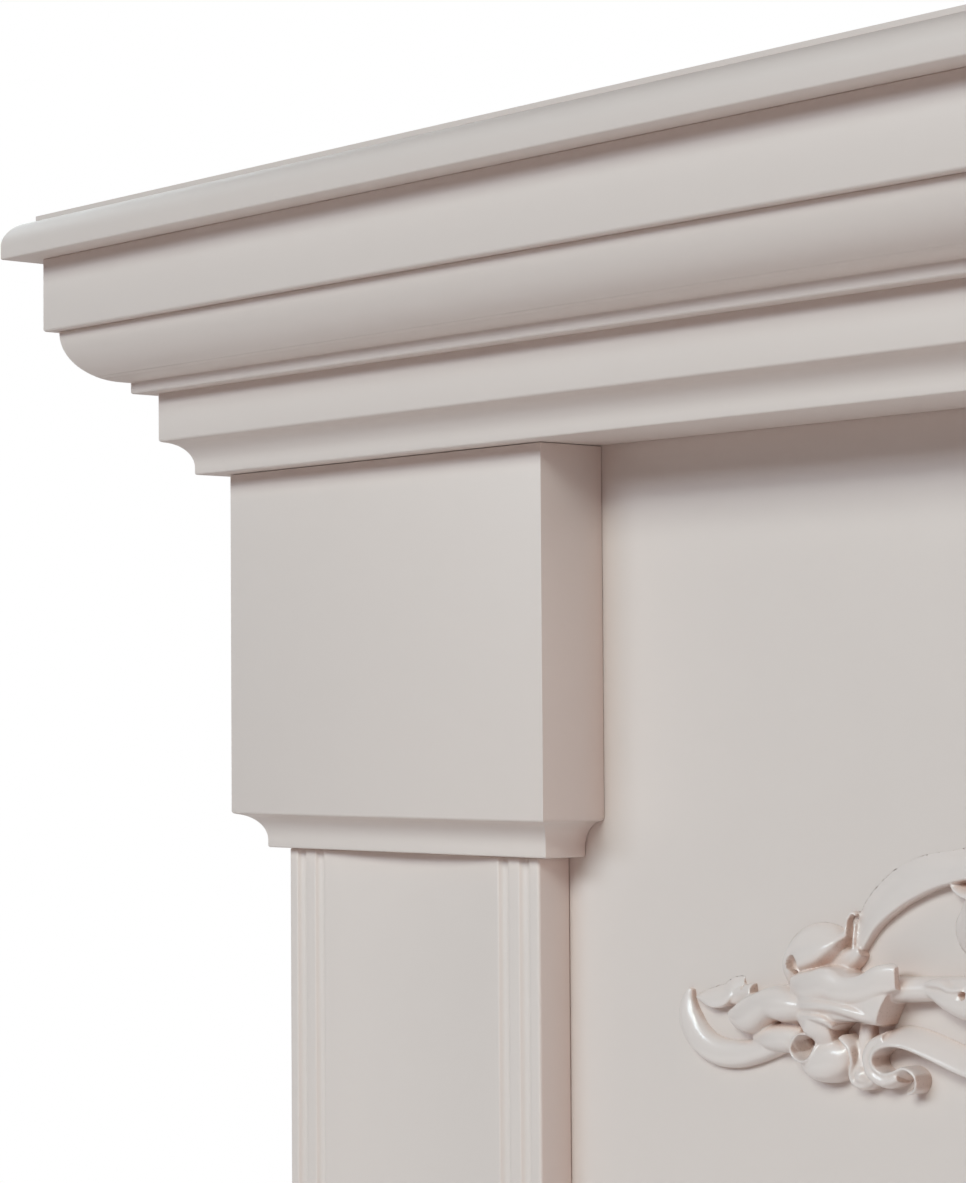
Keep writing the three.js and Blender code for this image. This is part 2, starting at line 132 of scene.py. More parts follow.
class ShaderTree:
    """The nodes of one material."""

    def __init__(self, name: str) -> None:
        """Starts an empty material of that name."""
        self.material = bpy.data.materials.new(name)
        self.material.use_nodes = True
        self.nodes = self.material.node_tree.nodes
        self.links = self.material.node_tree.links
        self.nodes.clear()

    def node(
        self,
        kind: str,
        settings: dict[str, object],
        inputs: dict[str | int, object],
    ) -> bpy.types.Node:
        """Adds a node.

        Args:
            kind: The node's type.
            settings: The node's own properties, set before its sockets.
            inputs: A value, or a Socket to link, for each input by name or number.

        Returns:
            The new node.
        """
        made = self.nodes.new(kind)
        for key, value in settings.items():
            setattr(made, key, value)
        for key, value in inputs.items():
            if isinstance(value, Socket):
                self.links.new(value.link, made.inputs[key])
            else:
                made.inputs[key].default_value = value
        return made

    def out(self, node: bpy.types.Node, name: str | int = 0) -> Socket:
        """The node's output as a Socket."""
        return Socket(self, node.outputs[name])

    def noise(self, scale: float, detail: float, seed: float = 0.0) -> Socket:
        """Noise on Object coordinates.

        Args:
            scale: Cells per metre.
            detail: Octaves.
            seed: Where in the noise the piece lies.

        Returns:
            The noise value, about 0.5 on average.
        """
        place = self.node("ShaderNodeTexCoord", {}, {})
        moved = self.node(
            "ShaderNodeMapping",
            {},
            {"Vector": self.out(place, "Object"), "Location": (seed, seed * 0.7, seed * 0.3)},
        )
        made = self.node(
            "ShaderNodeTexNoise",
            {},
            {"Vector": self.out(moved), "Scale": scale, "Detail": detail, "Roughness": NOISE_ROUGHNESS},
        )
        return self.out(made, "Fac")

    def mix(
        self,
        factor: Socket,
        low: tuple[float, ...] | Socket,
        high: tuple[float, ...] | Socket,
    ) -> Socket:
        """Mixes two colours by a factor."""
        made = self.node("ShaderNodeMix", {"data_type": "RGBA"}, {"Factor": factor, 6: low, 7: high})
        return self.out(made, 2)


@dataclass(frozen=True)
class PaintFinish:
    """A brushed or sprayed cream paint over board or casting."""

    name: str
    colour: tuple[float, float, float]
    # The next colour is a painted warm shade, laid into the recesses that ambient occlusion finds.
    painted_shade_colour: tuple[float, float, float]
    roughness: float
    roughness_spread: float
    coat: float
    coat_roughness: float
    peel_scale: float
    peel_depth: float
    painted_shade_reach: float
    painted_shade_strength: float
    pinholes: float
    # The next colour and share paint a brown shade on steep faces turned towards the middle.
    side_shade_colour: tuple[float, float, float] = (0.43, 0.26, 0.19)
    side_shade_share: float = 0.5
    steep_from: float = 0.74
    steep_sharpness: float = 6.0
    hole_from: float = 0.62
    hole_sharpness: float = 9.0
    hole_shade: float = 0.5
    cloud_tone: float = 0.015

    def shaded_inward_faces(self, tree: ShaderTree) -> Socket:
        """Where the surface is steep and looks towards the middle of the object, from 0 to 1: where the
        painted side shade goes.
        """
        geometry = tree.node("ShaderNodeNewGeometry", {}, {})
        normal = tree.node("ShaderNodeSeparateXYZ", {}, {"Vector": tree.out(geometry, "Normal")})
        place = tree.node("ShaderNodeTexCoord", {}, {})
        split = tree.node("ShaderNodeSeparateXYZ", {}, {"Vector": tree.out(place, "Object")})
        half = tree.node("ShaderNodeMath", {"operation": "SIGN"}, {0: tree.out(split, "X")})
        outward = tree.out(half) * tree.out(normal, "X")
        return ((-self.steep_from - outward) * self.steep_sharpness).clamped()

    def material(self) -> bpy.types.Material:
        """Builds the paint, with a faint cloud, a painted warm shade in its recesses and a fine sprayed
        skin.

        Where pinholes is over zero, steep faces turned towards the middle also get a painted brown
        shade, and pinholes are sunk there and in the painted shade of the recesses.

        Returns:
            The material.
        """
        tree = ShaderTree(self.name)
        cloud = tree.noise(3.0, 2.0)
        fine = tree.noise(60.0, 3.0, seed=4.0)
        peel = tree.noise(self.peel_scale, 2.0, seed=9.0)
        # Painted shade: where ambient occlusion finds a recess, the colour is mixed towards the warm
        # shade colour.
        occlusion = tree.node(
            "ShaderNodeAmbientOcclusion",
            {"samples": 8},
            {"Distance": self.painted_shade_reach},
        )
        painted_shade_mask = ((1.0 - tree.out(occlusion, "AO")) * self.painted_shade_strength).clamped()
        shade = tree.mix(
            (0.3 + 0.4 * cloud).clamped(),
            (*[c * (1.0 - self.cloud_tone) for c in self.colour], 1.0),
            (*[min(c * (1.0 + self.cloud_tone), 1.0) for c in self.colour], 1.0),
        )
        base = tree.mix(painted_shade_mask, shade, (*self.painted_shade_colour, 1.0))
        height = peel + 0.3 * fine
        if self.pinholes:
            grain = tree.noise(2600.0, 1.0, seed=2.0)
            # Painted shade on one side: steep faces turned towards the middle are mixed towards a dark
            # brown.
            side_shade_mask = self.shaded_inward_faces(tree)
            base = tree.mix(side_shade_mask * self.side_shade_share, base, (*self.side_shade_colour, 1.0))
            # Pinholes, sunk with the bump, lie where either painted shade falls, and are darkened to
            # half the painted shade colour, as shade inside them.
            specks = ((grain - self.hole_from) * self.hole_sharpness).clamped()
            holes = (specks * (painted_shade_mask + side_shade_mask)).clamped()
            height = height - self.pinholes * holes
            base = tree.mix(holes, base, (*[c * self.hole_shade for c in self.painted_shade_colour], 1.0))
        bump = tree.node(
            "ShaderNodeBump",
            {},
            {"Height": height, "Distance": self.peel_depth, "Strength": 1.0},
        )
        shader = tree.node(
            "ShaderNodeBsdfPrincipled",
            {},
            {
                "Base Color": base,
                "Roughness": (self.roughness + (fine - 0.5) * self.roughness_spread).clamped(),
                "Coat Weight": self.coat,
                "Coat Roughness": self.coat_roughness,
                "Normal": tree.out(bump),
            },
        )
        tree.node("ShaderNodeOutputMaterial", {}, {"Surface": tree.out(shader)})
        return tree.material


# The board paint has a painted warm shade in its recesses.
SATIN_PAINT = PaintFinish(
    name="satin_cream_paint",
    colour=(0.70, 0.622, 0.592),
    painted_shade_colour=(0.76, 0.62, 0.56),
    roughness=0.42,
    roughness_spread=0.12,
    coat=0.0,
    coat_roughness=0.3,
    peel_scale=420.0,
    peel_depth=0.00002,
    painted_shade_reach=0.012,
    painted_shade_strength=0.7,
    pinholes=0.0,
)

# The carving paint has a painted warm, darker shade in its recesses, a painted brown shade on steep
# faces turned towards the middle, and pinholes darkened with painted shade.
GLOSS_PAINT = PaintFinish(
    name="glossy_carving_paint",
    colour=(0.735, 0.66, 0.635),
    painted_shade_colour=(0.72, 0.52, 0.43),
    roughness=0.30,
    roughness_spread=0.08,
    coat=0.5,
    coat_roughness=0.12,
    peel_scale=700.0,
    peel_depth=0.00003,
    painted_shade_reach=0.006,
    painted_shade_strength=1.0,
    pinholes=1.5,
)


def deselect_all() -> None:
    """Leaves nothing selected, in object mode."""
    if bpy.context.object and bpy.context.object.mode != "OBJECT":
        bpy.ops.object.mode_set(mode="OBJECT")
    bpy.ops.object.select_all(action="DESELECT")


def make_active(piece: bpy.types.Object) -> None:
    """Selects one piece alone."""
    deselect_all()
    piece.select_set(True)
    bpy.context.view_layer.objects.active = piece


def tidy_normals(piece: bpy.types.Object) -> None:
    """Merges doubled vertices and turns every face outwards."""
    make_active(piece)
    bpy.ops.object.mode_set(mode="EDIT")
    bpy.ops.mesh.select_all(action="SELECT")
    bpy.ops.mesh.remove_doubles(threshold=MERGE_DISTANCE)
    bpy.ops.mesh.normals_make_consistent(inside=False)
    bpy.ops.object.mode_set(mode="OBJECT")


def soften_edges(piece: bpy.types.Object, width: float) -> None:
    """Rounds the sharp arrises and shades the rest smooth.

    Args:
        piece: The mesh to finish.
        width: How far back from the arris the rounding starts.
    """
    make_active(piece)
    bevel = piece.modifiers.new("arris", "BEVEL")
    bevel.width = width
    bevel.segments = ARRIS_SEGMENTS
    bevel.limit_method = "ANGLE"
    bevel.angle_limit = math.radians(ARRIS_TURN)
    bevel.use_clamp_overlap = True
    bpy.ops.object.modifier_apply(modifier=bevel.name)
    bpy.ops.object.shade_smooth_by_angle(angle=math.radians(SMOOTH_TURN))


def finish_piece(piece: bpy.types.Object, slot: Slot, material: bpy.types.Material, *nodes: str) -> None:
    """Dresses a piece, lets it stand for its nodes and reports it.

    Args:
        piece: The finished mesh.
        slot: The record's finish; not used.
        material: The paint.
        *nodes: The nodes that the piece stands for.
    """
    piece.data.materials.clear()
    piece.data.materials.append(material)
    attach(piece, BODY)
    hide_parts(*nodes)
    LOG.info("%s: %d faces", piece.name, len(piece.data.polygons))


def arc(
    centre: tuple[float, float],
    radius: float,
    start: float,
    end: float,
    steps: int,
) -> list[tuple[float, float]]:
    """Points along a circular arc of a profile, angles in degrees."""
    angles = np.radians(np.linspace(start, end, steps + 1))
    return [(centre[0] + radius * math.cos(a), centre[1] + radius * math.sin(a)) for a in angles]


def extrude_ring(piece: bpy.types.Object, ring: Sequence[tuple[float, float, float]]) -> None:
    """Extrudes the end face of a piece and puts the new ring in place.

    Args:
        piece: The mesh, whose last vertices are the present end ring in order.
        ring: The new place of each ring vertex.
    """
    make_active(piece)
    count = len(ring)
    mesh = piece.data
    ends = {v.index for v in mesh.vertices[-count:]}
    for polygon in mesh.polygons:
        polygon.select = set(polygon.vertices) == ends
    old = [mesh.vertices[i].co.copy() for i in sorted(ends)]
    bpy.ops.object.mode_set(mode="EDIT")
    bpy.ops.mesh.extrude_region_move()
    bpy.ops.object.mode_set(mode="OBJECT")
    fresh = mesh.vertices[-count:]
    for vertex in fresh:
        number = min(range(count), key=lambda i: (old[i] - vertex.co).length_squared)
        vertex.co = ring[number]


def ringed_solid(name: str, rings: Sequence[Sequence[tuple[float, float, float]]]) -> bpy.types.Object:
    """Models a solid from a flat outline that is extruded ring by ring.

    Args:
        name: The piece's name.
        rings: The place of each outline vertex at each station.

    Returns:
        The closed piece.
    """
    deselect_all()
    bpy.ops.mesh.primitive_circle_add(vertices=len(rings[0]), fill_type="NGON", location=(0, 0, 0))
    piece = bpy.context.object
    piece.name = piece.data.name = name
    for vertex, place in zip(piece.data.vertices, rings[0]):
        vertex.co = place
    for ring in rings[1:]:
        extrude_ring(piece, ring)
    tidy_normals(piece)
    return piece


@dataclass(frozen=True)
class MantelSizes:
    """Sizes shared by the cornice, the head blocks and the feet."""

    cove_depth: float = 10.7 * MM
    cove_foot: float = 3.1 * MM
    arris: float = 1.2 * MM
    small_arris: float = 0.8 * MM
    nose_radius: float = 10.0 * MM
    nose_face: float = 5.5 * MM
    nose_step: float = 0.5 * MM
    ovolo_radius: float = 21.3 * MM
    fillet_height: float = 4.8 * MM
    foot_rounding: float = 7.0 * MM
    foot_rounding_end: float = 88.0
    paint_film: float = 0.27 * MM
    arc_steps: int = 24
    arris_steps: int = 5

    def cove(self, face: float, bottom: float) -> list[tuple[float, float]]:
        """The cove at the foot of a vertical face, as (projection, height) points.

        Args:
            face: Projection of the face above the cove.
            bottom: Height of the cove's underside.

        Returns:
            The profile's points from the underside up to the face.
        """
        low_edge = (face - self.cove_depth - self.small_arris, bottom + self.small_arris)
        top = bottom + self.cove_foot + self.cove_depth
        end = 90 + math.degrees(math.asin(self.arris / self.cove_depth))
        return [
            *arc(low_edge, self.small_arris, -90, 0, self.arris_steps),
            *arc((face, bottom + self.cove_foot), self.cove_depth, 180, end, self.arc_steps),
            *arc((face - self.arris, top + self.arris), self.arris, -90, 0, self.arris_steps),
        ]


@dataclass
class Cornice:
    """The shelf and the three moulded layers under it, each run round the front and both ends."""

    sizes: MantelSizes
    paint: bpy.types.Material
    arris: float = 0.5 * MM

    def __post_init__(self) -> None:
        """Reads where the layers lie from the frame."""
        outer_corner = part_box("left_head_block")[0]
        self.wall_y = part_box("shelf")[1].y
        self.face_x = outer_corner.x
        self.face_y = outer_corner.y

    def build(self) -> None:
        """Builds every layer of the cornice."""
        self.build_shelf()
        self.build_layer("fascia", self.fascia_edge())
        self.build_layer("ovolo_moulding", self.ovolo_edge())
        self.build_layer("bed_moulding", self.bed_edge())

    def projection(self, node: str) -> float:
        """How far a node stands out past the head block's outer face."""
        return self.face_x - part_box(node)[0].x

    def build_shelf(self) -> None:
        """The shelf board with its quarter-round nose."""
        low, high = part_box("shelf")
        out = self.projection("shelf")
        s = self.sizes
        centre = out - s.nose_radius
        profile = [
            *arc((out - s.small_arris, low.z + s.small_arris), s.small_arris, -90, 0, s.arris_steps),
            *arc((centre, low.z + s.nose_face), s.nose_radius, 0, 90, s.arc_steps),
            (centre - s.nose_step, low.z + s.nose_face + s.nose_radius + s.nose_step),
            (centre - s.nose_step, high.z),
        ]
        rings = [
            [
                (self.face_x - p, self.face_y - p, z),
                (-self.face_x + p, self.face_y - p, z),
                (-self.face_x + p, self.wall_y, z),
                (self.face_x - p, self.wall_y, z),
            ]
            for p, z in profile
        ]
        piece = ringed_solid("shelf_board", rings)
        soften_edges(piece, self.arris)
        finish_piece(piece, Slot.BOARD, self.paint, "shelf")

    def fascia_edge(self) -> list[tuple[float, float]]:
        """Outer edge of the fascia: a flat face with a rounded lower arris."""
        low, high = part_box("fascia_front")
        out = self.projection("fascia_front")
        s = self.sizes
        return [
            *arc((out - s.arris, low.z + s.arris), s.arris, -90, 0, s.arris_steps),
            (out, high.z + s.paint_film),
        ]

    def ovolo_edge(self) -> list[tuple[float, float]]:
        """Outer edge of the ovolo: a fillet and a bold quarter round above it."""
        low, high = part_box("ovolo_moulding_front")
        out = self.projection("ovolo_moulding_front")
        s = self.sizes
        radius = s.ovolo_radius
        fillet = out - radius
        return [
            *arc((fillet - s.small_arris, low.z + s.small_arris), s.small_arris, -90, 0, s.arris_steps),
            *arc((fillet, low.z + s.fillet_height + radius), radius, -90, 0, s.arc_steps),
            (out, high.z + s.paint_film),
        ]

    def bed_edge(self) -> list[tuple[float, float]]:
        """Outer edge of the bed moulding: a cove under a flat face."""
        low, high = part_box("bed_moulding_front")
        out = self.projection("bed_moulding_front")
        return [*self.sizes.cove(out, low.z), (out, high.z + self.sizes.paint_film)]

    def build_layer(self, name: str, edge: list[tuple[float, float]]) -> None:
        """Runs one layer from the wall, round both front corners and back, as one painted length.

        Args:
            name: The start of its nodes' names.
            edge: Its outer edge from bottom to top, as (projection, height).
        """
        inner_front = self.face_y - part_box(f"{name}_front")[1].y
        inner_side = self.face_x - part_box(f"{name}_left_return")[1].x
        lowest, highest = edge[0][1], edge[-1][1]
        profile = [(None, lowest), *edge, (None, highest)]

        def corner(side: int, at_wall: bool) -> list[tuple[float, float, float]]:
            """The profile at one end of the front, or at the wall on that side."""
            places = []
            for p, z in profile:
                across = inner_side if p is None else p
                forward = inner_front if p is None else p
                x = side * (-self.face_x + across)
                places.append((x, self.wall_y if at_wall else self.face_y - forward, z))
            return places

        rings = [corner(-1, True), corner(-1, False), corner(1, False), corner(1, True)]
        piece = ringed_solid(f"{name}_run", rings)
        soften_edges(piece, self.arris)
        nodes = (f"{name}_front", f"{name}_left_return", f"{name}_right_return")
        finish_piece(piece, Slot.BOARD, self.paint, *nodes)


@dataclass
class Leg:
    """One pilaster with its head block and its foot, and the strips that run back to the wall."""

    side: Side
    sizes: MantelSizes
    paint: bpy.types.Material
    block_arris: float = 1.6 * MM

    def build(self) -> None:
        """Builds the leg from the top down."""
        word = self.side.word
        self.stepped(f"{word}_head_block", self.head_profile(f"{word}_head_block"), True)
        self.stepped(f"{word}_head_block_return", self.head_profile(f"{word}_head_block_return"), False)
        refined_board(f"{word}_pilaster", self.paint)
        self.stepped(f"{word}_foot_block", self.foot_profile(f"{word}_foot_block"), True)
        self.stepped(f"{word}_foot_return", self.foot_profile(f"{word}_foot_return"), False)
        refined_board(f"{word}_side_return", self.paint)

    def head_profile(self, node: str) -> list[tuple[float, float]]:
        """The head block's face with the cove at its foot."""
        low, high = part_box(node)
        return [*self.sizes.cove(0.0, low.z), (0.0, high.z)]

    def foot_profile(self, node: str) -> list[tuple[float, float]]:
        """The foot's face with its rounded top edge."""
        low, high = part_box(node)
        s = self.sizes
        r = s.foot_rounding
        edge = arc((-r, high.z - r), r, 0, s.foot_rounding_end, s.arris_steps * 2)
        return [(0.0, low.z), *edge, (-r, high.z)]

    def stepped(self, node: str, profile: list[tuple[float, float]], is_front: bool) -> None:
        """Models a block whose faces follow a profile.

        Args:
            node: The node it stands for.
            profile: (projection, height) points from the bottom up.
            is_front: True for a block with a moulded front and two moulded sides, False for a strip
                that is moulded on its outer side alone.
        """
        low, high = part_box(node)
        left = 1.0 if is_front or self.side is Side.LEFT else 0.0
        right = 1.0 if is_front or self.side is Side.RIGHT else 0.0
        front = 1.0 if is_front else 0.0
        rings = [
            [
                (low.x - p * left, low.y - p * front, z),
                (high.x + p * right, low.y - p * front, z),
                (high.x + p * right, high.y, z),
                (low.x - p * left, high.y, z),
            ]
            for p, z in profile
        ]
        piece = ringed_solid(f"{node}_painted", rings)
        soften_edges(piece, self.block_arris if is_front else BOARD_ARRIS)
        finish_piece(piece, Slot.BOARD, self.paint, node)


def refined_board(node: str, paint: bpy.types.Material, flat_turn: float = 0.2) -> None:
    """Dresses a plain board: a merged copy of the node with cleaned faces and soft edges.

    Args:
        node: The node it stands for.
        paint: Its paint.
        flat_turn: Faces that turn less than this, in degrees, become one.
    """
    source = bpy.data.objects[node]
    piece = bpy.data.objects.new(f"{node}_painted", source.data.copy())
    bpy.context.scene.collection.objects.link(piece)
    make_active(piece)
    bpy.ops.object.mode_set(mode="EDIT")
    bpy.ops.mesh.select_all(action="SELECT")
    bpy.ops.mesh.remove_doubles(threshold=MERGE_DISTANCE)
    bpy.ops.mesh.dissolve_limited(angle_limit=math.radians(flat_turn))
    bpy.ops.object.mode_set(mode="OBJECT")
    soften_edges(piece, BOARD_ARRIS)
    finish_piece(piece, Slot.BOARD, paint, node)


class Section(Enum):
    """A stroke's shape from the left of its run to the right, as (place, height) shares."""

    ROUND = (
        (-1, 0), (-0.93, 0.45), (-0.72, 0.8), (-0.36, 0.96),
        (0, 1), (0.36, 0.96), (0.72, 0.8), (0.93, 0.45), (1, 0),
    )  # fmt: skip
    SHEET = (
        (-1, 0), (-0.98, 0.5), (-0.93, 0.76), (-0.8, 0.9), (-0.4, 0.98),
        (0, 1), (0.4, 0.98), (0.8, 0.9), (0.93, 0.76), (0.98, 0.5), (1, 0),
    )  # fmt: skip
    LIPPED = (
        (-1, 0), (-0.8, 0.22), (-0.4, 0.52), (0, 0.77),
        (0.4, 0.94), (0.7, 1), (0.88, 0.93), (0.98, 0.6), (1, 0),
    )  # fmt: skip
    BLADE = (
        (-1, 0), (-0.86, 0.05), (-0.6, 0.24), (-0.3, 0.5), (0.1, 0.78),
        (0.45, 0.94), (0.74, 1), (0.92, 0.97), (0.99, 0.6), (1, 0),
    )  # fmt: skip
    TURNED = (
        (-1, 0), (-0.9, 0.1), (-0.72, 0.34), (-0.4, 0.66), (-0.1, 0.87),
        (0.22, 0.98), (0.48, 1), (0.72, 0.88), (0.9, 0.5), (1, 0),
    )  # fmt: skip
    DISHED = (
        (-1, 0), (-0.97, 0.6), (-0.86, 0.93), (-0.66, 0.96), (-0.3, 0.66),
        (0, 0.56), (0.3, 0.66), (0.66, 0.96), (0.86, 0.93), (0.97, 0.6), (1, 0),
    )  # fmt: skip


Row = tuple[float, float, float, float]


@dataclass(frozen=True)
class Stroke:
    """One lobe, leaf or stem of the carving on the left half.

    Its rows are (across, up, crest height, half width) in millimetres from the carving's middle. Its
    underside rises from the panel to the undercut's height at its end.
    """

    name: str
    section: Section
    rows: tuple[Row, ...]
    undercut: float = 0.0


@dataclass(frozen=True)
class Pit:
    """A round hole sunk into the carving, in millimetres from the carving's middle."""

    across: float
    up: float
    radius: float
    depth: float


